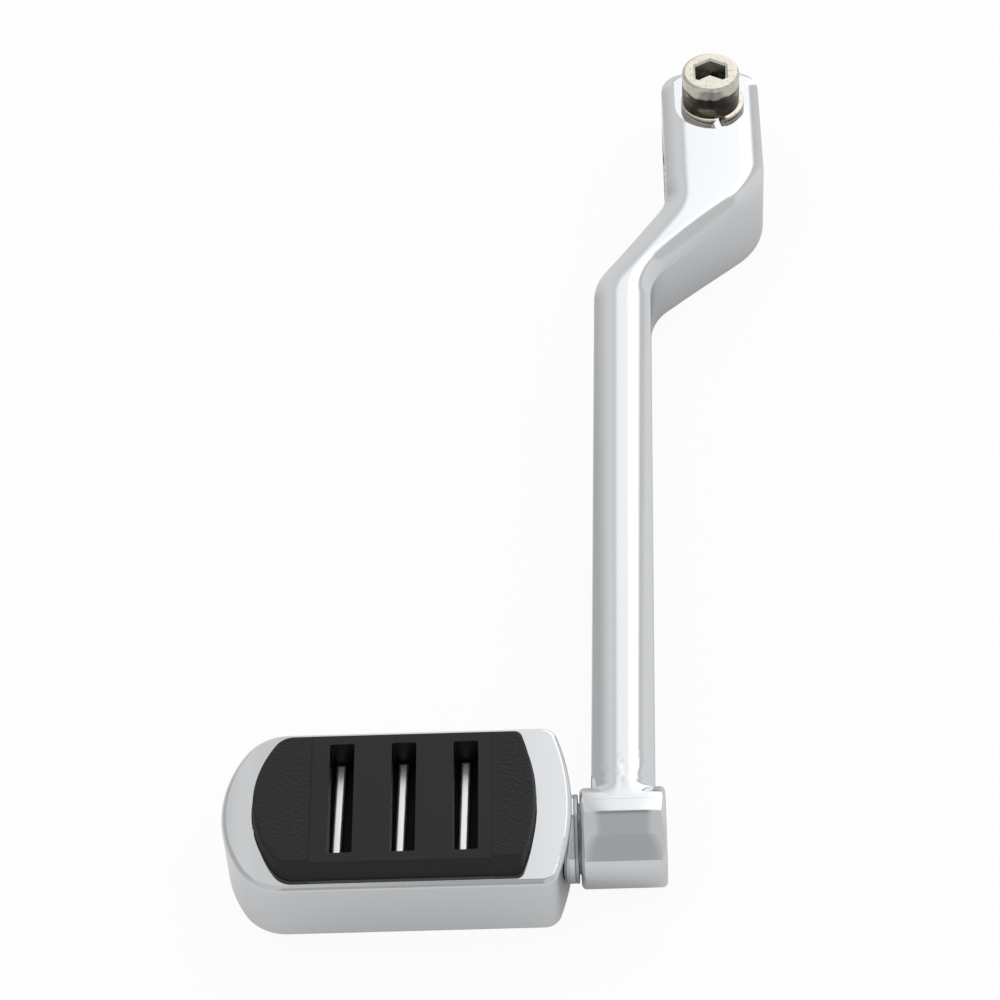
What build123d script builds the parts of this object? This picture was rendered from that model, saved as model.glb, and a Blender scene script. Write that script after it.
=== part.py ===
from build123d import *
import math
import os

# Heel shift lever with its peg, in millimetres. The origin is the centre of the splined
# bore: X runs along the bore, with the peg toward -X, +Y points to the clamp's end, and
# +Z is the way the pinch screw's head and the peg's pad face.

# Pinch clamp
clamp_width = 20.3
clamp_thickness = 17.0
seat_width = 14.9
seat_depth = 0.45
clamp_end = 24.4
clamp_corner_radius = 5.6
slit_width = 2.4
spline_tip_radius = 5.3
spline_depth = 0.5
spline_groove_width = 0.79
spline_root_width = 0.45
spline_count = 24
bore_chamfer = 0.6

# Dogleg and shank
left_bend_top = -14.9
left_bend_top_radius = 9.0
left_bend_foot = -36.0
left_bend_foot_radius = 14.0
right_bend_top = -12.75
right_bend_top_radius = 17.0
right_bend_foot = -35.0
right_bend_foot_radius = 11.0
shank_width = 11.35
shank_lean = 1.34
shank_thickness = 14.8
thinning_start = -8.0
thinning_length = 26.0
crown_rise = 1.5
crown_width = 4.7
crown_edge_round = 0.4
crown_overhang = 2.5
crown_row_count = 101
crown_column_count = 25
crown_tolerance = 0.01
bottom_round = 0.8

# Boss at the shank's foot
boss_distance = 168.9
boss_offset = 22.81
boss_diameter = 17.9
boss_length = 15.25
boss_rim_round = 0.9
boss_shoulder_radius = 2.4
boss_near_corner_radius = 1.1
pilot_diameter = 12.6
pilot_height = 0.33

# Pinch screw, 5/16-18 x 5/8 socket head, and its split washer
screw_distance = 13.0
screw_diameter = 7.94
screw_length = 15.9
screw_head_diameter = 11.91
screw_head_height = 7.9
screw_head_round = 0.7
screw_tip_chamfer = 0.8
socket_across_flats = 6.35
socket_depth = 4.4
socket_mouth = 0.4
screw_hole_play = 0.23
thread_play = 0.05
washer_outer_diameter = 13.1
washer_thickness = 1.6
washer_play = 0.5
washer_shift = 0.4
washer_edge = 0.15
washer_split = 0.9
washer_split_turn = 12.0
washer_split_slant = 35.0

# Peg body
peg_length = 61.65
peg_half_width = 17.0
peg_left_bow = 24.0
peg_left_corner = 9.0
peg_right_bow = 48.0
peg_right_corner = 3.0
peg_top = 10.8
peg_wall_foot = -2.7
peg_belly_drop = 6.0
peg_belly_corner = 1.2
peg_belly_round = 2.0
peg_wall_foot_round = 0.8
peg_rim_round = 0.9
neck_diameter = 15.8
neck_root = 14.0
neck_edge = 0.12
flange_stand = 0.35
tray_depth = 4.2
tray_play = 0.12
fin_width = 1.8
fin_height = 1.9
fin_round = 0.5
fin_end_play = 0.3
fin_pitch = 11.1
fin_shift = -0.7
fin_turn = -1.3
spacer_thickness = 0.64
spacer_edge = 0.1
spacer_play = 0.2

# Stud
stud_diameter = 7.94
stud_peg_depth = 14.0
stud_recess = 2.0
stud_chamfer = 0.6
stud_hole_spare = 1.5

# Rubber pad
pad_left_margin = 5.5
pad_right_margin = 6.15
pad_half_width = 15.2
pad_left_bow = 22.0
pad_left_corner = 4.0
pad_right_bow = 42.0
pad_right_corner = 1.5
pad_height = 3.5
pad_side_slope = 1.6
pad_end_slope = 0.4
pad_top_round = 0.7
pad_left_end_length = 10.4
pad_right_end_length = 7.5
pad_end_step = 0.25
slot_width = 4.35
slot_length = 23.6
slot_round = 0.4
slot_count = 3
slot_pitch = 10.95
slot_middle_from_pad_end = 26.8

# Places that follow from the sizes
clamp_half = clamp_width / 2
face_z = clamp_thickness / 2
crown_top = face_z + seat_depth
shank_z = shank_thickness / 2
middle_z = (face_z + shank_z) / 2
thinning_middle = thinning_start - thinning_length / 2
thinning_end = thinning_start - thinning_length
boss_y = -boss_distance
boss_left = -boss_offset - boss_length / 2
boss_right = boss_left + boss_length
spacer_right = boss_left - pilot_height
neck_end = spacer_right - spacer_thickness
peg_right_apex = neck_end - flange_stand
peg_left_apex = peg_right_apex - peg_length
pad_left_apex = peg_left_apex + pad_left_margin
pad_right_apex = peg_right_apex - pad_right_margin
tray_floor = peg_top - tray_depth
slot_middle = pad_left_apex + slot_middle_from_pad_end
slot_steps = [i - (slot_count - 1) / 2 for i in range(slot_count)]
slot_places = [slot_middle + slot_pitch * step for step in slot_steps]
fin_places = [slot_middle + fin_shift + fin_pitch * step for step in slot_steps]
head_seat = face_z + washer_thickness
peg_plane = Plane(origin=(0, boss_y, 0))


def shank_edge(y, side):
    """X of the shank's side at y: the centreline leans from the boss, half a width to the side."""
    lean = math.radians(shank_lean)
    half = shank_width / 2 / math.cos(lean)
    return -boss_offset + (y - boss_y) * math.tan(lean) + side * half


def bowed_outline(left_apex, right_apex, half_width, left_bow, right_bow, left_corner, right_corner):
    """Plan outline of two parallel sides closed by an arc at each end, with rounded corners."""
    left_x = left_apex + left_bow - math.sqrt(left_bow**2 - half_width**2)
    right_x = right_apex - right_bow + math.sqrt(right_bow**2 - half_width**2)
    with BuildSketch(Plane.XY) as outline:
        with BuildLine():
            Line((left_x, half_width), (right_x, half_width))
            ThreePointArc((right_x, half_width), (right_apex, 0), (right_x, -half_width))
            Line((right_x, -half_width), (left_x, -half_width))
            ThreePointArc((left_x, -half_width), (left_apex, 0), (left_x, half_width))
        make_face()
        fillet(outline.vertices().group_by(Axis.X)[0], radius=left_corner)
        fillet(outline.vertices().group_by(Axis.X)[-1], radius=right_corner)
    return outline.sketch


def peg_outline(inset, right_corner):
    """Outline of the peg body, drawn in by inset all round."""
    return bowed_outline(
        peg_left_apex + inset,
        peg_right_apex - inset,
        peg_half_width - inset,
        peg_left_bow - inset,
        peg_right_bow - inset,
        peg_left_corner - inset,
        right_corner,
    )


def pad_outline(side_inset, end_inset, grown):
    """Outline of the pad, drawn in at its sides and ends, or grown all round for its tray."""
    return bowed_outline(
        pad_left_apex + end_inset - grown,
        pad_right_apex - end_inset + grown,
        pad_half_width - side_inset + grown,
        pad_left_bow + grown,
        pad_right_bow + grown,
        pad_left_corner + grown,
        pad_right_corner + grown,
    )


# Boss: a cylinder along X whose corners are rounded in plan as well as at its rims
with BuildPart() as boss:
    with BuildSketch(Plane.YZ.offset(boss_left)):
        with Locations((boss_y, 0)):
            Circle(boss_diameter / 2)
    extrude(amount=boss_length)
    fillet(boss.edges().filter_by(GeomType.CIRCLE), radius=boss_rim_round)
    with BuildSketch(Plane(origin=(-boss_offset, boss_y, -boss_diameter))) as boss_plan:
        Rectangle(boss_length, boss_diameter)
        fillet(boss_plan.vertices().group_by(Axis.Y)[-1], radius=boss_shoulder_radius)
        fillet(boss_plan.vertices().group_by(Axis.Y)[0], radius=boss_near_corner_radius)
    extrude(amount=2 * boss_diameter, mode=Mode.INTERSECT)

# Lever: the plan outline of clamp, dogleg and shank, a line of corners with their radii
lever_corners = [
    (-clamp_half, clamp_end, clamp_corner_radius),
    (clamp_half, clamp_end, clamp_corner_radius),
    (clamp_half, right_bend_top, right_bend_top_radius),
    (shank_edge(right_bend_foot, 1), right_bend_foot, right_bend_foot_radius),
    (shank_edge(boss_y, 1), boss_y, 0),
    (shank_edge(boss_y, -1), boss_y, 0),
    (shank_edge(left_bend_foot, -1), left_bend_foot, left_bend_foot_radius),
    (-clamp_half, left_bend_top, left_bend_top_radius),
]
# One groove of the bore's serrations, from inside the bore out to its narrower root
spline_groove = [
    (-spline_depth, -spline_groove_width / 2),
    (0, -spline_groove_width / 2),
    (spline_depth, -spline_root_width / 2),
    (spline_depth, spline_root_width / 2),
    (0, spline_groove_width / 2),
    (-spline_depth, spline_groove_width / 2),
]
with BuildSketch(Plane.XY.offset(-face_z)) as lever_plan:
    with BuildLine():
        FilletPolyline(
            [(x, y) for x, y, radius in lever_corners],
            radius=[radius for x, y, radius in lever_corners],
            close=True,
        )
    make_face()


def eased(y, start, length):
    """Smooth step from 0 at start to 1 a length further toward the boss."""
    share = min(max((start - y) / length, 0), 1)
    return share**2 * (3 - 2 * share)


def crown_point(x, y):
    """Point of the lever's polished top: level in the middle, falling off toward the outline."""
    middle = crown_top - (crown_top - shank_z) * eased(y, thinning_start, thinning_length)
    spot = Vertex(x, y, -face_z)
    outline = lever_plan.sketch.face()
    inward = outline.outer_wire().distance_to(spot) - 2 * outline.distance_to(spot)
    return Vector(x, y, middle - crown_rise * max(1 - inward / crown_width, 0) ** 2)


# Crown: a surface through rows of points that follow the dogleg and overhang the outline
crown_half = clamp_half + crown_overhang
crown_rows = []
crown_length = clamp_end - boss_y + crown_overhang
for row in range(crown_row_count):
    y = clamp_end + crown_overhang - crown_length * row / (crown_row_count - 1)
    shank_middle = (shank_edge(y, -1) + shank_edge(y, 1)) / 2
    middle_x = shank_middle * eased(y, left_bend_top, left_bend_top - left_bend_foot)
    steps = [2 * column / (crown_column_count - 1) - 1 for column in range(crown_column_count)]
    crown_rows.append([crown_point(middle_x + crown_half * step, y) for step in steps])
crown_surface = Face.make_surface_from_array_of_points(crown_rows, tol=crown_tolerance)
crown_block = Solid.extrude(crown_surface, Vector(0, 0, -2 * clamp_thickness))

with BuildPart() as shift_lever:
    add(lever_plan.sketch)
    extrude(amount=2 * clamp_thickness)
    add(crown_block, mode=Mode.INTERSECT)
    # Underside in side view: the clamp's level, drawn up along the dogleg by two arcs
    with BuildSketch(Plane.YZ):
        with BuildLine():
            Line((clamp_end, clamp_thickness), (clamp_end, -face_z))
            Line((clamp_end, -face_z), (thinning_start, -face_z))
            TangentArc((thinning_start, -face_z), (thinning_middle, -middle_z), tangent=(-1, 0))
            TangentArc((thinning_end, -shank_z), (thinning_middle, -middle_z), tangent=(1, 0))
            Line((thinning_end, -shank_z), (boss_y, -shank_z))
            Line((boss_y, -shank_z), (boss_y, clamp_thickness))
            Line((boss_y, clamp_thickness), (clamp_end, clamp_thickness))
        make_face()
    extrude(amount=2 * (boss_offset + boss_length), both=True, mode=Mode.INTERSECT)
    side_faces = shift_lever.faces().filter_by(lambda face: abs(face.normal_at().Z) < 0.1)
    walls = [face for face in side_faces if face.center().Y > boss_y + boss_length]
    rim = [edge for wall in walls for edge in wall.edges() if abs(edge.tangent_at(0.5).Z) < 0.5]
    fillet([edge for edge in rim if edge.center().Z < 0], radius=bottom_round)
    fillet([edge for edge in rim if edge.center().Z > 0], radius=crown_edge_round)
    add(boss.part)
    # Machined pilot that the peg's spacer bears on
    with BuildSketch(Plane.YZ.offset(spacer_right)):
        with Locations((boss_y, 0)):
            Circle(pilot_diameter / 2)
    extrude(amount=pilot_height)
    # Milled seat for the pinch screw's washer, open to the clamp's end
    with BuildSketch(Plane.XY.offset(face_z)):
        with Locations((0, screw_distance)):
            Circle(seat_width / 2)
        with Locations((0, screw_distance + clamp_end / 2)):
            Rectangle(seat_width, clamp_end)
    extrude(amount=2 * seat_depth, mode=Mode.SUBTRACT)
    # Bore, its serrations and the slit that lets the clamp close
    with BuildSketch(Plane.YZ.offset(-clamp_half)):
        Circle(spline_tip_radius)
    extrude(amount=clamp_width, mode=Mode.SUBTRACT)
    mouths = [
        edge
        for edge in shift_lever.edges().filter_by(GeomType.CIRCLE)
        if abs(abs(edge.center().X) - clamp_half) < 1e-6 and abs(edge.radius - spline_tip_radius) < 1e-6
    ]
    chamfer(mouths, length=bore_chamfer)
    with BuildSketch(Plane.YZ.offset(-clamp_half)):
        with PolarLocations(spline_tip_radius, spline_count, start_angle=180 / spline_count):
            Polygon(*spline_groove, align=None)
    extrude(amount=clamp_width, mode=Mode.SUBTRACT)
    with BuildSketch(Plane.YZ.offset(-clamp_half)):
        with Locations((clamp_end / 2, 0)):
            Rectangle(clamp_end, slit_width)
    extrude(amount=clamp_width, mode=Mode.SUBTRACT)
    # Clearance hole in the upper jaw, tapped hole in the lower one
    with BuildSketch(Plane.XY):
        with Locations((0, screw_distance)):
            Circle(screw_diameter / 2 + screw_hole_play)
    extrude(amount=face_z, mode=Mode.SUBTRACT)
    with BuildSketch(Plane.XY.offset(-face_z)):
        with Locations((0, screw_distance)):
            Circle(screw_diameter / 2 + thread_play)
    extrude(amount=face_z, mode=Mode.SUBTRACT)
    # Tapped hole for the stud, right through the boss
    with BuildSketch(Plane.YZ.offset(spacer_right)):
        with Locations((boss_y, 0)):
            Circle(stud_diameter / 2 + thread_play)
    extrude(amount=boss_right - spacer_right, mode=Mode.SUBTRACT)
shift_lever.part.label = "shift_lever"

# Pinch screw: socket head with a hexagon chamfered at its mouth, a vertex pointing to the clamp's end
with BuildPart() as pinch_screw:
    with BuildSketch(Plane.XY.offset(head_seat)):
        with Locations((0, screw_distance)):
            Circle(screw_head_diameter / 2)
    extrude(amount=screw_head_height)
    fillet(pinch_screw.edges().group_by(Axis.Z)[-1], radius=screw_head_round)
    with BuildSketch(Plane.XY.offset(head_seat - screw_length)):
        with Locations((0, screw_distance)):
            Circle(screw_diameter / 2)
    extrude(amount=screw_length)
    chamfer(pinch_screw.edges().group_by(Axis.Z)[0], length=screw_tip_chamfer)
    with BuildSketch(Plane.XY.offset(head_seat + screw_head_height - socket_depth)):
        with Locations((0, screw_distance)):
            RegularPolygon(socket_across_flats / 2, 6, major_radius=False, rotation=30)
    extrude(amount=socket_depth, mode=Mode.SUBTRACT)
    head_top = pinch_screw.faces().sort_by(Axis.Z)[-1]
    chamfer(head_top.inner_wires()[0].edges(), length=socket_mouth)
pinch_screw.part.label = "pinch_screw"

# Split lock washer, lying against one side of the screw, with a slanted cut
washer_bore_radius = screw_diameter / 2 + washer_play
with BuildPart() as lock_washer:
    with BuildSketch(Plane(origin=(washer_shift, screw_distance, face_z))):
        Circle(washer_outer_diameter / 2)
        Circle(washer_bore_radius, mode=Mode.SUBTRACT)
    extrude(amount=washer_thickness)
    chamfer(lock_washer.edges(), length=washer_edge)
    split_middle = Plane(
        origin=(washer_shift, screw_distance, face_z + washer_thickness / 2),
    ).rotated((0, 0, washer_split_turn))
    with BuildSketch(split_middle * Plane.XZ.offset(washer_bore_radius / 2)):
        slant = washer_thickness * math.tan(math.radians(washer_split_slant))
        with BuildLine():
            Polyline(
                (-washer_split / 2 - slant, -washer_thickness),
                (washer_split / 2 - slant, -washer_thickness),
                (washer_split / 2 + slant, washer_thickness),
                (-washer_split / 2 + slant, washer_thickness),
                close=True,
            )
        make_face()
    extrude(amount=washer_outer_diameter, mode=Mode.SUBTRACT)
lock_washer.part.label = "lock_washer"

# Peg body: upright walls, a belly drawn in below them and a round neck toward the boss
with BuildPart() as peg_body:
    with BuildSketch(peg_plane.offset(peg_wall_foot)):
        add(peg_outline(0, peg_right_corner))
    extrude(amount=peg_top - peg_wall_foot)
    with BuildSketch(peg_plane.offset(peg_wall_foot)):
        add(peg_outline(0, peg_right_corner))
    with BuildSketch(peg_plane.offset(peg_wall_foot - peg_belly_drop)):
        add(peg_outline(peg_belly_drop, peg_belly_corner))
    loft()
    fillet(
        peg_body.edges().filter_by(lambda edge: abs(edge.center().Z - peg_wall_foot) < 1e-6),
        radius=peg_wall_foot_round,
    )
    fillet(peg_body.edges().group_by(Axis.Z)[0], radius=peg_belly_round)
    fillet(peg_body.edges().group_by(Axis.Z)[-1], radius=peg_rim_round)
    with BuildSketch(Plane.YZ.offset(neck_end - neck_root)):
        with Locations((boss_y, 0)):
            Circle(neck_diameter / 2)
    extrude(amount=neck_root)
    neck_rim = peg_body.edges().filter_by(GeomType.CIRCLE).group_by(Axis.X)[-1]
    chamfer(neck_rim, length=neck_edge)
    # Tray for the pad, with a fin standing in each of its slots
    with BuildSketch(peg_plane.offset(tray_floor)):
        add(pad_outline(0, 0, tray_play))
    extrude(amount=tray_depth, mode=Mode.SUBTRACT)
    with BuildSketch(peg_plane.offset(tray_floor)):
        with Locations([Location((x, 0), fin_turn) for x in fin_places]):
            Rectangle(fin_width, slot_length - 2 * fin_end_play)
    extrude(amount=fin_height)
    fin_tops = peg_body.edges().filter_by(
        lambda edge: abs(edge.center().Z - tray_floor - fin_height) < 1e-6
    )
    fillet(fin_tops, radius=fin_round)
    # Blind tapped hole for the stud
    with BuildSketch(Plane.YZ.offset(neck_end - stud_peg_depth - stud_hole_spare)):
        with Locations((boss_y, 0)):
            Circle(stud_diameter / 2 + thread_play)
    extrude(amount=stud_peg_depth + stud_hole_spare, mode=Mode.SUBTRACT)
peg_body.part.label = "peg_body"

# Spacer washer between the neck and the boss
with BuildPart() as peg_washer:
    with BuildSketch(Plane.YZ.offset(neck_end)):
        with Locations((boss_y, 0)):
            Circle(neck_diameter / 2)
            Circle(stud_diameter / 2 + spacer_play, mode=Mode.SUBTRACT)
    extrude(amount=spacer_thickness)
    outer_rims = peg_washer.edges().filter_by(GeomType.CIRCLE).group_by(SortBy.RADIUS)[-1]
    chamfer(outer_rims, length=spacer_edge)
peg_washer.part.label = "peg_washer"

# Stud that ties the peg to the boss, ending short of the boss's far face
with BuildPart() as peg_stud:
    with BuildSketch(Plane.YZ.offset(neck_end - stud_peg_depth)):
        with Locations((boss_y, 0)):
            Circle(stud_diameter / 2)
    extrude(amount=boss_right - stud_recess - neck_end + stud_peg_depth)
    chamfer(peg_stud.edges().filter_by(GeomType.CIRCLE), length=stud_chamfer)
peg_stud.part.label = "peg_stud"

# Rubber pad: upright inside the tray, sloped above it, with raised ends and open slots
pad_top = peg_top + pad_height
with BuildPart() as peg_pad:
    with BuildSketch(peg_plane.offset(tray_floor)):
        add(pad_outline(0, 0, 0))
    extrude(amount=tray_depth)
    with BuildSketch(peg_plane.offset(peg_top)):
        add(pad_outline(0, 0, 0))
    with BuildSketch(peg_plane.offset(pad_top)):
        add(pad_outline(pad_side_slope, pad_end_slope, 0))
    loft()
    fillet(peg_pad.edges().group_by(Axis.Z)[-1], radius=pad_top_round)
    middle_left = pad_left_apex + pad_left_end_length
    middle_right = pad_right_apex - pad_right_end_length
    with BuildSketch(peg_plane.offset(pad_top - pad_end_step)):
        with Locations(((middle_left + middle_right) / 2, 0)):
            Rectangle(middle_right - middle_left, 2 * pad_half_width)
    extrude(amount=pad_end_step, mode=Mode.SUBTRACT)
    with BuildSketch(peg_plane.offset(tray_floor)):
        with Locations([(x, 0) for x in slot_places]):
            RectangleRounded(slot_width, slot_length, slot_round)
    extrude(amount=tray_depth + pad_height, mode=Mode.SUBTRACT)
peg_pad.part.label = "peg_pad"

os.makedirs("parts", exist_ok=True)
for piece in (shift_lever, pinch_screw, lock_washer, peg_body, peg_washer, peg_stud, peg_pad):
    export_step(piece.part, "parts/" + piece.part.label + ".step")
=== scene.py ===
import math

import bpy
import numpy as np
from mathutils import Matrix, Vector


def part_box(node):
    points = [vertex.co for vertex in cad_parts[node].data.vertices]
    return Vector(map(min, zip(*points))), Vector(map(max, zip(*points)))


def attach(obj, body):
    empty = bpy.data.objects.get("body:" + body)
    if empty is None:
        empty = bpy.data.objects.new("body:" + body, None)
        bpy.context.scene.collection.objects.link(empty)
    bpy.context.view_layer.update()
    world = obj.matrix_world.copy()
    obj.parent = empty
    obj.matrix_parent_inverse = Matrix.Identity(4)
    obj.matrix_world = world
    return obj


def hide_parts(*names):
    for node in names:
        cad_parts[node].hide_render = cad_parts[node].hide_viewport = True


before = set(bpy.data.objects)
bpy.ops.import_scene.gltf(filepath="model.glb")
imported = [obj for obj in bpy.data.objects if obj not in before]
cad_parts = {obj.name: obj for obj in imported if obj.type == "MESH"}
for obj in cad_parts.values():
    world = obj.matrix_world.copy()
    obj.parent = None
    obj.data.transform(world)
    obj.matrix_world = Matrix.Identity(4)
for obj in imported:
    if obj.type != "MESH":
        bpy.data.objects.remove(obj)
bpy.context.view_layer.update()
mm = 0.001
print("frame loaded:", len(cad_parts), "nodes")


# sRGB hex text to the linear colour that a shader socket takes
def linear(hexColour):
    parts = [int(hexColour[i:i + 2], 16) / 255 for i in (1, 3, 5)]
    return tuple(p / 12.92 if p <= 0.04045 else ((p + 0.055) / 1.055) ** 2.4 for p in parts) + (1.0,)


# adds one node: settings are its properties, sockets its input values or the outputs linked to them
def addNode(tree, kind, sockets=None, **settings):
    node = tree.nodes.new(kind)
    for name, value in settings.items():
        setattr(node, name, value)
    for name, value in (sockets or {}).items():
        if isinstance(value, bpy.types.NodeSocket):
            tree.links.new(value, node.inputs[name])
        else:
            node.inputs[name].default_value = value
    return node


# an empty node material and its tree, ready for a shader
def newMaterial(name):
    material = bpy.data.materials.new(name)
    material.use_nodes = True
    material.node_tree.nodes.clear()
    return material, material.node_tree


# position on the object in millimetres, for every pattern below
def placeInMm(tree):
    where = addNode(tree, "ShaderNodeTexCoord")
    scaled = addNode(tree, "ShaderNodeVectorMath", {0: where.outputs["Object"]}, operation="SCALE")
    scaled.inputs["Scale"].default_value = 1 / mm
    return scaled.outputs[0]


# value noise with features of the given size in mm; stretch lengthens them along an axis
def grain(tree, place, size, detail, stretch=(1, 1, 1)):
    squeezed = addNode(tree, "ShaderNodeVectorMath", {
        0: place, 1: tuple(1 / (size * s) for s in stretch)}, operation="MULTIPLY")
    noise = addNode(tree, "ShaderNodeTexNoise", {
        "Vector": squeezed.outputs[0], "Scale": 1.0, "Detail": detail})
    return noise.outputs["Fac"]


# straight, clamped remapping of a value
def remap(tree, value, low, high, toLow, toHigh):
    node = addNode(tree, "ShaderNodeMapRange", {
        "Value": value, "From Min": low, "From Max": high, "To Min": toLow, "To Max": toHigh})
    return node.outputs["Result"]


# smooth passage from 0 to 1 as a value goes from low to high
def softStep(tree, value, low, high):
    node = addNode(tree, "ShaderNodeMapRange", {
        "Value": value, "From Min": low, "From Max": high}, interpolation_type="SMOOTHSTEP")
    return node.outputs["Result"]


# one sum, product or the like of two values or sockets; a single value leaves the second out
def joined(tree, operation, first, second=0.0):
    return addNode(tree, "ShaderNodeMath", {0: first, 1: second}, operation=operation).outputs[0]


# X, Y and Z of a vector
def partsOf(tree, vector):
    return addNode(tree, "ShaderNodeSeparateXYZ", {"Vector": vector}).outputs


# the material takes the only slot of a CAD node's mesh
def useMaterial(nodeName, material):
    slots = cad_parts[nodeName].data.materials
    slots.clear()
    slots.append(material)


# camera of the photograph, solved from the object's own edges
cameraView = {
    "lens": 129.6,              # mm
    "sensor": 36,               # mm
    "yaw": 0.0475,              # object turned clockwise from straight, radians
    "lookDown": 48.36,          # degrees below the horizon
    "roll": 0.066,              # picture turned, radians
    "place": (-22.75, -548.0, 518.07),   # mm
    "nearest": 0.01,            # m, nothing nearer is drawn
}


# turned by yaw, tipped down, then rolled about its own line of sight
def makeCamera(view):
    data = bpy.data.cameras.new("photoCamera")
    data.lens = view["lens"]
    data.sensor_width = view["sensor"]
    data.clip_start = view["nearest"]
    camera = bpy.data.objects.new("photoCamera", data)
    bpy.context.scene.collection.objects.link(camera)
    turn = (
        Matrix.Rotation(view["yaw"], 4, "Z")
        @ Matrix.Rotation(math.radians(90 - view["lookDown"]), 4, "X")
        @ Matrix.Rotation(-view["roll"], 4, "Z")
    )
    camera.matrix_world = Matrix.Translation(Vector(view["place"]) * mm) @ turn
    bpy.context.scene.camera = camera


makeCamera(cameraView)
print("camera ready")

# pale studio, in brightness where 1 is white paper: one big soft panel stands behind the object and to
# the right, its upper edge a little over the height at which level chrome mirrors it
studio = {
    "sky": 0.84,
    "card": 0.62,               # grey card over the object and round to the camera
    "cardHalfWidth": 0.07,      # sideways share of a direction that the card covers
    "cardSoft": 0.06,           # share over which its edge fades
    # degrees from straight behind the object toward its right, brightness
    "around": [
        (-174, 0.58), (-163, 0.86), (-110, 0.80), (-75, 0.66), (-42, 0.66), (-35, 0.86),
        (-27, 1.00), (-19, 1.02), (-9, 0.96), (-5, 1.08), (-2, 1.28), (0, 1.48), (3, 1.70),
        (8, 1.80), (30, 1.80), (34, 0.84), (38, 0.90), (42, 1.08), (70, 1.00), (110, 0.84),
        (163, 0.86), (174, 0.58)],
    "aroundScale": 2.0,         # the ramp's colours stop at 1, so it holds brightness over this
    "panelTop": 59.0,           # degrees above the horizon
    "panelTopSoft": 4.0,        # degrees over which that edge fades
    "gapBright": 0.36,          # dark gap between the panel and the ceiling
    "gapTop": 68.0,             # degrees above the horizon
    "gapSoft": 10.0,            # degrees over which the ceiling begins
    "floorGlowSeen": 0.93,      # share of the floor's white that no shadow takes away
    "floorGlowMirrored": 0.80,  # the same share where chrome mirrors the floor
    "contactReach": 40.0,       # mm over which the painted contact shadow darkens the mirrored floor
    "contactShare": 0.85,       # share of the mirrored glow that the painted contact shadow takes at its darkest
    "contactSamples": 8,
    "floorPaint": "#f2f2f2",
    "floorSize": 3.0,           # m
    "floorDrop": 9.0,           # mm below the bore
}


# brightness of a direction: below the panel's top the ramp around the object; above it the plain sky,
# and over the middle the card, with the dark gap between it and the panel
def makeWorld(values):
    world = bpy.data.worlds.new("studioWorld")
    bpy.context.scene.world = world
    world.use_nodes = True
    tree = world.node_tree
    tree.nodes.clear()
    where = addNode(tree, "ShaderNodeTexCoord")
    axes = partsOf(tree, where.outputs["Generated"])
    azimuth = joined(tree, "DEGREES", joined(tree, "ARCTAN2", axes["X"], axes["Y"]))
    height = joined(tree, "DEGREES", joined(tree, "ARCSINE", axes["Z"]))
    ramp = addNode(tree, "ShaderNodeValToRGB", {"Fac": remap(tree, azimuth, -180, 180, 0, 1)})
    stops = ramp.color_ramp.elements
    while len(stops) > 1:
        stops.remove(stops[-1])
    for index, (angle, bright) in enumerate(values["around"]):
        stop = stops[0] if index == 0 else stops.new((angle + 180) / 360)
        stop.position = (angle + 180) / 360
        stop.color = [bright / values["aroundScale"]] * 3 + [1]
    around = joined(tree, "MULTIPLY", ramp.outputs["Color"], values["aroundScale"])
    above = softStep(tree, height, values["panelTop"], values["panelTop"] + values["panelTopSoft"])
    halfSoft = values["gapSoft"] / 2
    ceilingStart = softStep(tree, height, values["gapTop"] - halfSoft, values["gapTop"] + halfSoft)
    cardHalf, halfSoft = values["cardHalfWidth"], values["cardSoft"] / 2
    offCard = softStep(tree, joined(tree, "ABSOLUTE", axes["X"]), cardHalf - halfSoft, cardHalf + halfSoft)
    towardCamera = joined(tree, "LESS_THAN", axes["Y"], 0.0)
    noGap = joined(tree, "MAXIMUM", ceilingStart, towardCamera)
    card = remap(tree, noGap, 0.0, 1.0, values["gapBright"], values["card"])
    overhead = addNode(tree, "ShaderNodeMix", {0: offCard, 2: card, 3: values["sky"]}, data_type="FLOAT")
    light = addNode(tree, "ShaderNodeMix", {0: above, 2: around, 3: overhead.outputs[0]}, data_type="FLOAT")
    lit = addNode(tree, "ShaderNodeBackground", {"Color": (1, 1, 1, 1), "Strength": light.outputs[0]})
    white = addNode(tree, "ShaderNodeBackground", {"Color": (1, 1, 1, 1), "Strength": 1.0})
    path = addNode(tree, "ShaderNodeLightPath")
    mixed = addNode(tree, "ShaderNodeMixShader", {
        "Fac": path.outputs["Is Camera Ray"], 1: lit.outputs[0], 2: white.outputs[0]})
    addNode(tree, "ShaderNodeOutputWorld", {"Surface": mixed.outputs[0]})


makeWorld(studio)
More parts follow.
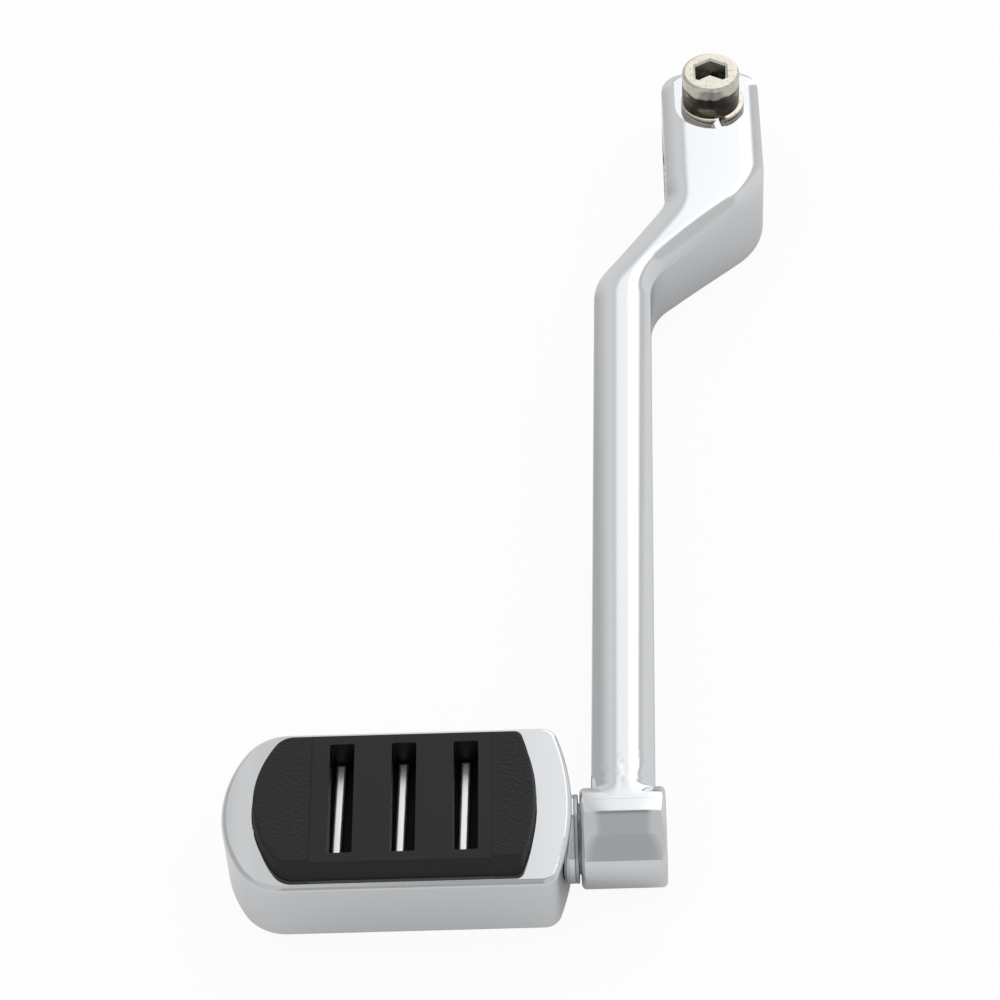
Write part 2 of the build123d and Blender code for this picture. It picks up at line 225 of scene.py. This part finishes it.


# pale floor: seen or mirrored it is part paint, which takes the shadows, and part even glow, and the
# mirrored glow carries a painted contact shadow, darker where the object stands close over it
def makeFloor(values):
    half = values["floorSize"] / 2
    drop = -values["floorDrop"] * mm
    corners = [(-half, -half, drop), (half, -half, drop), (half, half, drop), (-half, half, drop)]
    mesh = bpy.data.meshes.new("studioFloor")
    mesh.from_pydata(corners, [], [(0, 1, 2, 3)])
    floor = bpy.data.objects.new("studioFloor", mesh)
    bpy.context.scene.collection.objects.link(floor)
    material, tree = newMaterial("paleFloor")
    path = addNode(tree, "ShaderNodeLightPath").outputs
    mirrored = joined(tree, "MULTIPLY", path["Is Glossy Ray"], values["floorGlowMirrored"])
    seen = joined(tree, "MULTIPLY", path["Is Camera Ray"], values["floorGlowSeen"])
    paint = addNode(tree, "ShaderNodeBsdfDiffuse", {"Color": linear(values["floorPaint"])})
    # painted contact shadow: ambient occlusion takes light from the glow that chrome mirrors
    clear = addNode(tree, "ShaderNodeAmbientOcclusion", {
        "Distance": values["contactReach"] * mm}, samples=values["contactSamples"])
    paintedContactShadow = remap(tree, clear.outputs["AO"], 0.0, 1.0, values["contactShare"], 0.0)
    bright = joined(tree, "SUBTRACT", 1.0, joined(tree, "MULTIPLY", paintedContactShadow, path["Is Glossy Ray"]))
    glow = addNode(tree, "ShaderNodeEmission", {"Color": (1, 1, 1, 1), "Strength": bright})
    mixed = addNode(tree, "ShaderNodeMixShader", {
        "Fac": joined(tree, "MAXIMUM", seen, mirrored), 1: paint.outputs[0], 2: glow.outputs[0]})
    addNode(tree, "ShaderNodeOutputMaterial", {"Surface": mixed.outputs[0]})
    mesh.materials.append(material)


makeFloor(studio)
bpy.context.scene.view_settings.view_transform = "Standard"
print("studio ready")


# chromium plate over a buffed forging or casting: a mirror with the faint waves that buffing leaves
# and a haze of hairlines that only dulls it a little
chromeLook = {
    "metal": "#c6c8ca",
    "roughness": (0.035, 0.085),
    "waveSize": 14.0,           # mm
    "waveHeight": 0.0012,       # mm
    "hairSize": 0.35,           # mm, coarser than real hairlines so that it shows
    "hairFrom": (0.35, 0.7),    # noise values of the sharpest and of the dullest mirror
}


# bump height = wave + crown of the boss + dabs at its meeting with the shank + fall of the peg's rim
def buffedChrome(name, look, hairStretch, boss=None, shadedTray=None, rim=None):
    material, tree = newMaterial(name)
    place = placeInMm(tree)
    hair = grain(tree, place, look["hairSize"], 2.0, hairStretch)
    height = joined(tree, "MULTIPLY", grain(tree, place, look["waveSize"], 1.0), look["waveHeight"])
    if boss:
        # the buffing wheel took more at the boss's two ends: drop = crown x (share of half its length)^4
        axes = partsOf(tree, place)
        across = joined(tree, "SUBTRACT", axes["X"], boss["middle"][0])
        part = joined(tree, "DIVIDE", across, boss["half"])
        square = joined(tree, "MULTIPLY", part, part)
        fourth = joined(tree, "MULTIPLY", square, square)
        start = boss["middle"][1] + boss["radius"]
        onBoss = remap(tree, axes["Y"], start - boss["fade"], start, 1.0, 0.0)
        drop = joined(tree, "MULTIPLY", fourth, -boss["crown"])
        height = joined(tree, "ADD", height, joined(tree, "MULTIPLY", drop, onBoss))
        # and it dabbed at the boss's meeting with the shank
        dabs = grain(tree, place, boss["dabSize"], 1.0)
        nearFrom, nearTo, farFrom, farTo = (start + step for step in boss["dabSteps"])
        near = remap(tree, axes["Y"], nearFrom, nearTo, 0.0, boss["dabHeight"])
        far = remap(tree, axes["Y"], farFrom, farTo, 1.0, 0.0)
        dab = joined(tree, "MULTIPLY", joined(tree, "MULTIPLY", near, far), dabs)
        height = joined(tree, "ADD", height, dab)
    if rim:
        # the rim's top falls off toward its outer end: drop = depth x (share of the width)^2
        part = remap(tree, partsOf(tree, place)["X"], rim["start"] - rim["width"], rim["start"], 1.0, 0.0)
        square = joined(tree, "MULTIPLY", part, part)
        upward = partsOf(tree, addNode(tree, "ShaderNodeNewGeometry").outputs["Normal"])["Z"]
        onTop = remap(tree, upward, *rim["tilt"], 0.0, -rim["depth"])
        height = joined(tree, "ADD", height, joined(tree, "MULTIPLY", square, onTop))
    bump = addNode(tree, "ShaderNodeBump", {"Height": height, "Strength": 1.0, "Distance": mm})
    surface = addNode(tree, "ShaderNodeBsdfPrincipled", {
        "Base Color": linear(look["metal"]), "Metallic": 1.0,
        "Roughness": remap(tree, hair, *look["hairFrom"], *look["roughness"]),
        "Normal": bump.outputs[0]}).outputs[0]
    if shadedTray:
        # painted shade: the tray under the pad is painted near black where the slots lie in shade, and the
        # fins' tops that stand up in them get full white metal as a painted highlight
        top, bottom, edge = shadedTray["top"], shadedTray["bottom"], shadedTray["edge"]
        upward = partsOf(tree, place)["Z"]
        fromMiddle = addNode(tree, "ShaderNodeVectorMath", {
            0: place, 1: shadedTray["middle"]}, operation="SUBTRACT")
        level = addNode(tree, "ShaderNodeVectorMath", {0: fromMiddle.outputs[0]}, operation="ABSOLUTE")
        away = partsOf(tree, level.outputs[0])
        halfX, halfY = shadedTray["half"]
        inX = remap(tree, away["X"], halfX, halfX + edge, 1.0, 0.0)
        inside = joined(tree, "MULTIPLY", inX, remap(tree, away["Y"], halfY, halfY + edge, 1.0, 0.0))
        low = remap(tree, upward, top, top + edge, 1.0, 0.0)
        high = remap(tree, upward, bottom - edge, bottom, 0.0, 1.0)
        trayShadeShare = joined(tree, "MULTIPLY", joined(tree, "MULTIPLY", low, high), inside)
        finTop = top + shadedTray["finRise"]
        onFin = remap(tree, upward, finTop, finTop + edge, 1.0, 0.0)
        finHighlightSurface = addNode(tree, "ShaderNodeBsdfPrincipled", {
            "Base Color": linear(shadedTray["fin"]), "Metallic": 1.0,
            "Roughness": shadedTray["finRoughness"]})
        surface = addNode(tree, "ShaderNodeMixShader", {
            0: joined(tree, "MULTIPLY", onFin, inside), 1: surface, 2: finHighlightSurface.outputs[0]}).outputs[0]
        paint = addNode(tree, "ShaderNodeBsdfPrincipled", {
            "Base Color": linear(shadedTray["paint"]), "Roughness": shadedTray["shadeRoughness"],
            "Specular IOR Level": shadedTray["shadeSheen"]})
        surface = addNode(tree, "ShaderNodeMixShader", {
            0: trayShadeShare, 1: surface, 2: paint.outputs[0]}).outputs[0]
    addNode(tree, "ShaderNodeOutputMaterial", {"Surface": surface})
    return material


# bright nickel plate over a turned screw, warm and slightly clouded, with painted shade in dark brown tones
# on the head's side and in the socket
nickelLook = {
    "metal": "#c3bfb3",
    "roughness": (0.12, 0.24),
    "cloudSize": 2.2,           # mm
    "cloudFrom": (0.3, 0.7),    # noise values of the clearest and of the dullest cloud
    "turnSize": 0.22,           # mm between the lathe's marks
    "turnHeight": 0.004,        # mm
    "turnStretch": (40, 40, 1),
    "headShade": ("#070605", "#2a2319", "#8b8271"),   # darkest, middle and palest tones of the painted shade
    "headShadeSize": 2.6,            # mm, drawn out round the head
    "headShadeStretch": (1.6, 1.6, 0.9),
    "headShadeToMiddle": (0.40, 0.50),   # noise values over which each kind passes into the next
    "headShadeToPale": (0.58, 0.66),
    "headShadeWaver": 1.6,           # mm by which its upper edge wavers
    "headShadeEdge": (0.9, 0.5),     # mm above its height where that edge ends and is full
    "footSoft": 0.2,            # mm over which its lower edge fades
    "headShadeInside": (4.6, 4.9),   # mm from the screw's axis over which it begins, clear of the socket
    "socketRadius": (3.8, 3.9),  # mm, the socket's upright walls end within it
    "uprightBelow": (0.2, 0.3),  # upward share of the normal over which a wall stops being upright
    # painted shade on the socket's upright walls, where shade falls in the recess
    "socketShade": 0.75,
    "speck": "#7d7667",
    "speckSize": 0.9,           # mm
    "speckFrom": (0.52, 0.68),
    "speckShare": 0.35,
}


# painted shade share = on the head's side below a wavering height, or on the socket's upright walls
def brightNickel(name, look, axis, shadeLow, shadeHigh, headShadeShare):
    material, tree = newMaterial(name)
    place = placeInMm(tree)
    cloud = grain(tree, place, look["cloudSize"], 3.0)
    marks = grain(tree, place, look["turnSize"], 1.0, look["turnStretch"])
    height = partsOf(tree, place)["Z"]
    # painted shade on the head's side, below a height that wavers with the cloud noise
    edge = joined(tree, "ADD", joined(tree, "MULTIPLY", cloud, look["headShadeWaver"]), height)
    edgeEnd, edgeFull = (shadeHigh + step for step in look["headShadeEdge"])
    headShade = remap(tree, edge, edgeEnd, edgeFull, 0.0, 1.0)
    foot = remap(tree, height, shadeLow - look["footSoft"], shadeLow, 0.0, headShadeShare)
    fromAxis = addNode(tree, "ShaderNodeVectorMath", {0: place, 1: axis}, operation="SUBTRACT")
    level = addNode(tree, "ShaderNodeVectorMath", {
        0: fromAxis.outputs[0], 1: (1, 1, 0)}, operation="MULTIPLY")
    away = addNode(tree, "ShaderNodeVectorMath", {0: level.outputs[0]}, operation="LENGTH")
    radius = away.outputs["Value"]
    outside = remap(tree, radius, *look["headShadeInside"], 0.0, 1.0)
    onHead = joined(tree, "MULTIPLY", joined(tree, "MULTIPLY", headShade, outside), foot)
    upward = partsOf(tree, addNode(tree, "ShaderNodeNewGeometry").outputs["True Normal"])["Z"]
    upright = remap(tree, upward, *look["uprightBelow"], look["socketShade"], 0.0)
    inSocket = remap(tree, radius, *look["socketRadius"], 1.0, 0.0)
    share = joined(tree, "MAXIMUM", onHead, joined(tree, "MULTIPLY", upright, inSocket))
    shadeNoise = grain(tree, place, look["headShadeSize"], 1.5, look["headShadeStretch"])
    specks = grain(tree, place, look["speckSize"], 4.0)
    # the painted shade's three brown tones, darkest, middle and palest, mixed by noise
    darkestShade, thin, palestShade = (linear(tone) for tone in look["headShade"])
    brown = addNode(tree, "ShaderNodeMix", {
        0: remap(tree, shadeNoise, *look["headShadeToMiddle"], 0.0, 1.0), 6: darkestShade, 7: thin}, data_type="RGBA")
    tone = addNode(tree, "ShaderNodeMix", {
        0: remap(tree, shadeNoise, *look["headShadeToPale"], 0.0, 1.0),
        6: brown.outputs[2], 7: palestShade}, data_type="RGBA")
    clean = addNode(tree, "ShaderNodeMix", {
        0: remap(tree, specks, *look["speckFrom"], 0.0, look["speckShare"]),
        6: linear(look["metal"]), 7: linear(look["speck"])}, data_type="RGBA")
    colour = addNode(tree, "ShaderNodeMix", {
        0: share, 6: clean.outputs[2], 7: tone.outputs[2]}, data_type="RGBA")
    bump = addNode(tree, "ShaderNodeBump", {
        "Height": marks, "Strength": 1.0, "Distance": look["turnHeight"] * mm})
    shader = addNode(tree, "ShaderNodeBsdfPrincipled", {
        "Base Color": colour.outputs[2], "Metallic": 1.0,
        "Roughness": remap(tree, cloud, *look["cloudFrom"], *look["roughness"]), "Normal": bump.outputs[0]})
    addNode(tree, "ShaderNodeOutputMaterial", {"Surface": shader.outputs[0]})
    return material


# black natural rubber: pebbled where the mould was etched, satin with flow streaks between the ends
rubberLook = {
    "etched": "#1b1b1c",
    "satin": "#121213",
    "roughness": (0.48, 0.62),  # satin, etched
    "sheen": 0.3,
    "pebble": 0.5,              # mm
    "pebbleHeight": 0.17,       # mm
    "streak": 0.5,              # mm
    "streakHeight": 0.012,      # mm
    "streakStretch": (1, 18, 18),
    "leftEnd": (-77.6, -77.5),  # mm, where the etched ends pass into the satin
    "rightEnd": (-45.4, -45.3),
}


# pebbles beyond both ends, streaks between them
def mouldedRubber(look):
    material, tree = newMaterial("mouldedRubber")
    place = placeInMm(tree)
    across = partsOf(tree, place)["X"]
    left = remap(tree, across, *look["leftEnd"], 1.0, 0.0)
    right = remap(tree, across, *look["rightEnd"], 0.0, 1.0)
    etched = joined(tree, "MAXIMUM", left, right)
    pebbles = addNode(tree, "ShaderNodeTexVoronoi", {
        "Vector": place, "Scale": 1 / look["pebble"], "Randomness": 1.0}, feature="SMOOTH_F1")
    streaks = grain(tree, place, look["streak"], 2.0, look["streakStretch"])
    rough = addNode(tree, "ShaderNodeBump", {
        "Height": pebbles.outputs["Distance"], "Strength": 1.0, "Distance": -look["pebbleHeight"] * mm})
    smooth = addNode(tree, "ShaderNodeBump", {
        "Height": streaks, "Strength": 1.0, "Distance": look["streakHeight"] * mm})
    normal = addNode(tree, "ShaderNodeMix", {
        0: etched, 4: smooth.outputs[0], 5: rough.outputs[0]}, data_type="VECTOR")
    colour = addNode(tree, "ShaderNodeMix", {
        0: etched, 6: linear(look["satin"]), 7: linear(look["etched"])}, data_type="RGBA")
    shader = addNode(tree, "ShaderNodeBsdfPrincipled", {
        "Base Color": colour.outputs[2],
        "Roughness": remap(tree, etched, 0.0, 1.0, *look["roughness"]),
        "Specular IOR Level": look["sheen"], "Normal": normal.outputs[1]})
    addNode(tree, "ShaderNodeOutputMaterial", {"Surface": shader.outputs[0]})
    return material


# bright zinc plate on turned steel, greyer and duller than the nickel
zincLook = {
    "metal": "#a2a3a4",
    "roughness": (0.25, 0.38),
    "cloudSize": 1.5,           # mm
    "cloudFrom": (0.3, 0.7),
}


def dullZinc(look):
    material, tree = newMaterial("dullZinc")
    cloud = grain(tree, placeInMm(tree), look["cloudSize"], 3.0)
    shader = addNode(tree, "ShaderNodeBsdfPrincipled", {
        "Base Color": linear(look["metal"]), "Metallic": 1.0,
        "Roughness": remap(tree, cloud, *look["cloudFrom"], *look["roughness"])})
    addNode(tree, "ShaderNodeOutputMaterial", {"Surface": shader.outputs[0]})
    return material


# low and high corner of a box, in mm
def inMm(box):
    return [[value / mm for value in corner] for corner in box]


leverBox = inMm(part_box("shift_lever"))
screwBox = inMm(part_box("pinch_screw"))
washerBox = inMm(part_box("lock_washer"))
padBox = inMm(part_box("peg_pad"))
pegBoss = {
    "middle": (leverBox[0][0] + 7.96, leverBox[0][1] + 8.95),
    "half": 7.6,                # mm, half its length
    "radius": 8.95,
    "crown": 0.30,              # mm lower at its two ends
    "fade": 0.8,                # mm before the shank over which the crown ends
    "dabSize": 2.6,
    "dabHeight": 0.10,
    "dabSteps": (-4.0, -1.5, 0.5, 5.0),   # mm past the boss: the dabs start, are full, fade, end
}
# painted shade over the tray in the slots, and a painted highlight on the fins' tops
trayShade = {
    # near black, the painted shade's colour
    "paint": "#0d0d0e",
    "shadeRoughness": 0.7,
    "shadeSheen": 0.2,
    # full white metal on the fins' tops, a painted highlight
    "fin": "#ffffff",
    "finRoughness": 0.42,
    "finRise": 0.9,             # mm from the black's top to the fins' top
    "edge": 0.1,                # mm over which the painted shade ends
    "bottom": padBox[0][2] - 0.4,
    "top": padBox[0][2] + 1.35,  # top of the painted shade, below the fins' tops with their painted highlight
    "middle": tuple((padBox[0][i] + padBox[1][i]) / 2 for i in (0, 1)) + (0,),
    "half": ((padBox[1][0] - padBox[0][0]) / 2 - 6, (padBox[1][1] - padBox[0][1]) / 2 - 2),
}
rimFall = {
    "start": padBox[0][0] + 1.4,
    "width": 7.0,
    "depth": 0.75,
    "tilt": (0.5, 0.9),         # upward share of the normal over which the rim's top begins
}
screwAxis = tuple((screwBox[0][i] + screwBox[1][i]) / 2 for i in (0, 1)) + (0,)
headFoot = washerBox[1][2]
headShadeTop = screwBox[1][2] - 2.6   # the painted shade's mean height on the head's side
headShadeShare = 0.92
leverChrome = buffedChrome("leverChrome", chromeLook, (1, 12, 12), boss=pegBoss)
pegChrome = buffedChrome("pegChrome", chromeLook, (12, 12, 1), shadedTray=trayShade, rim=rimFall)
screwNickel = brightNickel("screwNickel", nickelLook, screwAxis, headFoot, headShadeTop, headShadeShare)
washerNickel = brightNickel("washerNickel", nickelLook, screwAxis, headFoot, headFoot, 0.0)
zinc = dullZinc(zincLook)
useMaterial("shift_lever", leverChrome)
useMaterial("peg_body", pegChrome)
useMaterial("pinch_screw", screwNickel)
useMaterial("lock_washer", washerNickel)
useMaterial("peg_pad", mouldedRubber(rubberLook))
useMaterial("peg_washer", zinc)
useMaterial("peg_stud", zinc)
print("materials ready")

# the buffed top of the lever as one fine shell over the CAD's surface, so that its long highlights
# run clean
leverTop = {
    # x, y and radius of each corner, from the clamp's end down to the boss
    "leftCorners": [
        (0, 24.4, 0), (-10.15, 24.4, 5.6), (-10.15, -14.9, 9.0), (-25.378, -36.0, 14.0),
        (-28.487, -168.9, 0)],
    "rightCorners": [
        (0, 24.4, 0), (10.15, 24.4, 5.6), (10.15, -12.75, 17.0), (-14.001, -35.0, 11.0),
        (-17.133, -168.9, 0)],
    "inset": 0.45,              # mm in from the outline, where the edge's own rounding starts
    "clampTop": 8.95,           # height of its middle over the bore
    "shankTop": 7.4,
    "thinFrom": -8.0,           # y where the clamp starts to thin, and over how far
    "thinLength": 26.0,
    "fall": 1.5,                # mm lower at the outline than in the middle
    "fallWidth": 4.7,           # mm from the outline
    "lift": 0.03,               # mm over the CAD's surface
    "liftRun": 2.0,             # mm of y over which the lift ends, at the boss
    "liftLeast": -0.2,          # share of the lift past that end
    "thickness": 0.12,
    "sharpFrom": 40.0,          # degrees
    "rows": 640,                # along y
    "columns": 61,              # from side to side
    "lastRow": -166.7,          # y
    "blendInset": 2.6,          # mm from the outline over which that running together builds up
    "bossMiddle": -168.9,
    "bossRadius": 8.95,
    "blend": 1.2,               # mm over which shank and boss run together
    "blendLeast": 0.1,          # share of it at the outline
    "offBoss": -5.0,            # height beyond the boss, low enough to play no part
    "seatMiddle": (0.0, 13.0),  # of the screw's milled seat, open toward the clamp's end
    "seatRadius": 7.5,
    "seatHeight": 8.5,
}


# the straight and curved runs of one side of an outline whose corners are rounded; an arc's ends lie
# radius x tan(half the turn) from its corner
def outlineRuns(corners):
    points = np.array([corner[:2] for corner in corners], dtype=float)
    legs = np.diff(points, axis=0)
    legs /= np.linalg.norm(legs, axis=1)[:, None]
    lines, arcs, start = [], [], points[0]
    for index in range(1, len(points) - 1):
        before, after, radius = legs[index - 1], legs[index], corners[index][2]
        turn = np.arccos(np.clip(before @ after, -1, 1))
        reach = radius * np.tan(turn / 2)
        side = np.sign(before[0] * after[1] - before[1] * after[0])
        centre = points[index] - before * reach + side * radius * np.array([-before[1], before[0]])
        lines.append((start, points[index] - before * reach))
        start = points[index] + after * reach
        arcs.append((centre, radius, points[index] - centre, turn / 2, side))
    lines.append((start, points[-1]))
    return lines, arcs


# distance of points inside an outline from it: the least over its straight runs and its arcs
def distanceInside(points, lines, arcs):
    least = np.full(points.shape[:-1], 1e9)
    for start, end in lines:
        along = end - start
        share = np.clip((points - start) @ along / (along @ along), 0, 1)
        least = np.minimum(least, np.linalg.norm(points - start - share[..., None] * along, axis=-1))
    for centre, radius, middle, half, side in arcs:
        away = points - centre
        reach = np.linalg.norm(away, axis=-1)
        within = away @ middle >= reach * np.linalg.norm(middle) * np.cos(half)
        least = np.where(within, np.minimum(least, abs(reach - radius)), least)
    return least


# x of one side, moved inward, at every row: straight runs and arcs drawn finely, then read at each y
def sideAtRows(lines, arcs, rows, inset, inward):
    places = []
    for index, (start, end) in enumerate(lines):
        along = (end - start) / np.linalg.norm(end - start)
        normal = inward * np.array([-along[1], along[0]])
        share = np.linspace(0, 1, 40)[:, None]
        places.append(start + (end - start) * share + normal * inset)
        if index < len(arcs):
            centre, radius, middle, half, side = arcs[index]
            heading = np.arctan2(middle[1], middle[0])
            turns = heading + side * np.linspace(-half, half, 90)
            reach = radius - inset * side * inward
            places.append(centre + reach * np.column_stack([np.cos(turns), np.sin(turns)]))
    chain = np.concatenate(places)
    return np.interp(rows, chain[::-1, 1], chain[::-1, 0])


# height = level middle - fall x (1 - distance from the outline / width)^2, run into the boss by a
# smooth maximum
def makeLeverTop(values):
    leftLines, leftArcs = outlineRuns(values["leftCorners"])
    rightLines, rightArcs = outlineRuns(values["rightCorners"])
    rows = np.linspace(values["leftCorners"][0][1] - values["inset"], values["lastRow"], values["rows"])
    left = sideAtRows(leftLines, leftArcs, rows, values["inset"], 1)
    right = sideAtRows(rightLines, rightArcs, rows, values["inset"], -1)
    share = 0.5 - 0.5 * np.cos(np.linspace(0, np.pi, values["columns"]))
    across = left[:, None] + (right - left)[:, None] * share
    along = np.broadcast_to(rows[:, None], across.shape)
    places = np.stack([across, along], axis=-1)
    inward = distanceInside(places, leftLines + rightLines, leftArcs + rightArcs)
    eased = np.clip((values["thinFrom"] - along) / values["thinLength"], 0, 1)
    eased = eased ** 2 * (3 - 2 * eased)
    level = values["clampTop"] - (values["clampTop"] - values["shankTop"]) * eased
    height = level - values["fall"] * np.clip(1 - inward / values["fallWidth"], 0, None) ** 2
    under = values["bossRadius"] ** 2 - (along - values["bossMiddle"]) ** 2
    boss = np.where(under > 0, np.sqrt(np.clip(under, 0, None)), values["offBoss"])
    blend = values["blend"] * np.clip(inward / values["blendInset"], values["blendLeast"], 1)
    mixing = np.clip(0.5 + 0.5 * (boss - height) / blend, 0, 1)
    blended = height + (boss - height) * mixing + blend * mixing * (1 - mixing)
    risen = np.clip((along - values["lastRow"]) / values["liftRun"], values["liftLeast"], 1)
    points = np.stack([across, along, blended + values["lift"] * risen], axis=-1)
    step, corner = np.meshgrid(
        np.arange(values["rows"] - 1), np.arange(values["columns"] - 1), indexing="ij")
    first = step * values["columns"] + corner
    following = first + values["columns"]
    quads = np.stack([first, following, following + 1, first + 1], axis=-1).reshape(-1, 4)
    fromSeat = np.stack([
        across - values["seatMiddle"][0], np.clip(values["seatMiddle"][1] - along, 0, None)], axis=-1)
    cut = (np.linalg.norm(fromSeat, axis=-1) < values["seatRadius"]) & (height > values["seatHeight"])
    quads = quads[~cut.reshape(-1)[quads].any(axis=1)]
    # closed below by the same sheet turned over, and round its border by upright faces
    points = points.reshape(-1, 3)
    total = len(points)
    edges = np.concatenate([quads[:, [side, (side + 1) % 4]] for side in range(4)])
    index, times = np.unique(np.sort(edges, axis=1), axis=0, return_index=True, return_counts=True)[1:]
    border = edges[index[times == 1]]
    upright = np.column_stack([border[:, 1], border[:, 0], border[:, 0] + total, border[:, 1] + total])
    faces = np.concatenate([quads, quads[:, ::-1] + total, upright])
    points = np.concatenate([points, points - (0, 0, values["thickness"])])
    used, renumbered = np.unique(faces, return_inverse=True)
    mesh = bpy.data.meshes.new("leverTop")
    mesh.from_pydata((points[used] * mm).tolist(), [], renumbered.reshape(-1, 4).tolist())
    mesh.update()
    mesh.shade_smooth()
    mesh.set_sharp_from_angle(angle=np.radians(values["sharpFrom"]))
    piece = bpy.data.objects.new("leverTop", mesh)
    bpy.context.scene.collection.objects.link(piece)
    mesh.materials.append(leverChrome)
    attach(piece, "root")


makeLeverTop(leverTop)
print("lever top ready")

# split spring washer, closed flat under the head
splitWasher = {
    "outer": (washerBox[1][1] - washerBox[0][1]) / 2,
    "inner": 4.47,              # mm, radius
    "low": washerBox[0][2],
    "high": washerBox[1][2],
    "middle": tuple((washerBox[0][i] + washerBox[1][i]) / 2 for i in (0, 1)),
    "edge": 0.18,               # mm, radius of its corners
    "gap": 1.9,                 # mm
    "gapAt": 9.0,               # degrees from straight to the front toward the object's right
    "slant": 32.0,              # degrees of the cut from upright
    "around": 220,              # steps round the screw
    "corner": 4,                # points of each rounded corner
    "sharpFrom": 30.0,          # degrees
}


# closed outline of a rounded rectangle, as rows of (outward, upward)
def washerSection(values):
    half = (values["outer"] - values["inner"]) / 2
    tall = (values["high"] - values["low"]) / 2
    turn = np.linspace(0, 0.5 * np.pi, values["corner"])
    angles = np.concatenate([turn + quarter * 0.5 * np.pi for quarter in range(4)])
    signs = np.repeat(np.array([[1, 1], [-1, 1], [-1, -1], [1, -1]]), values["corner"], axis=0)
    centre = signs * (np.array([half, tall]) - values["edge"])
    return centre + values["edge"] * np.column_stack([np.cos(angles), np.sin(angles)])


# the section swept round the screw, each end cut on a slant:
# angle = even step + height x tan(slant) / radius
def makeSplitWasher(values):
    section = washerSection(values)
    middle = (values["outer"] + values["inner"]) / 2
    halfGap = values["gap"] / 2 / middle
    centre = np.radians(values["gapAt"] - 90)
    steps = np.linspace(centre + halfGap, centre + 2 * np.pi - halfGap, values["around"])
    radius = middle + section[:, 0]
    angle = steps[:, None] + section[None, :, 1] * np.tan(np.radians(values["slant"])) / middle
    upward = np.broadcast_to(section[None, :, 1] + (values["low"] + values["high"]) / 2, angle.shape)
    points = np.stack([
        values["middle"][0] + radius * np.cos(angle),
        values["middle"][1] + radius * np.sin(angle), upward], axis=-1)
    count = len(section)
    step, corner = np.meshgrid(np.arange(values["around"] - 1), np.arange(count), indexing="ij")
    following = (corner + 1) % count
    quads = np.stack([
        step * count + corner, (step + 1) * count + corner,
        (step + 1) * count + following, step * count + following], axis=-1).reshape(-1, 4)
    last = (values["around"] - 1) * count
    ends = [list(range(count)), list(range(last, last + count))[::-1]]
    mesh = bpy.data.meshes.new("splitWasher")
    mesh.from_pydata((points.reshape(-1, 3) * mm).tolist(), [], quads.tolist() + ends)
    mesh.update()
    mesh.shade_smooth()
    mesh.set_sharp_from_angle(angle=np.radians(values["sharpFrom"]))
    piece = bpy.data.objects.new("splitWasher", mesh)
    bpy.context.scene.collection.objects.link(piece)
    mesh.materials.append(washerNickel)
    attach(piece, "root")
    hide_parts("lock_washer")


makeSplitWasher(splitWasher)
print("split washer ready")

# the photograph shows no mirror image of the screw in the chrome in front of it
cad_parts["pinch_screw"].visible_glossy = False
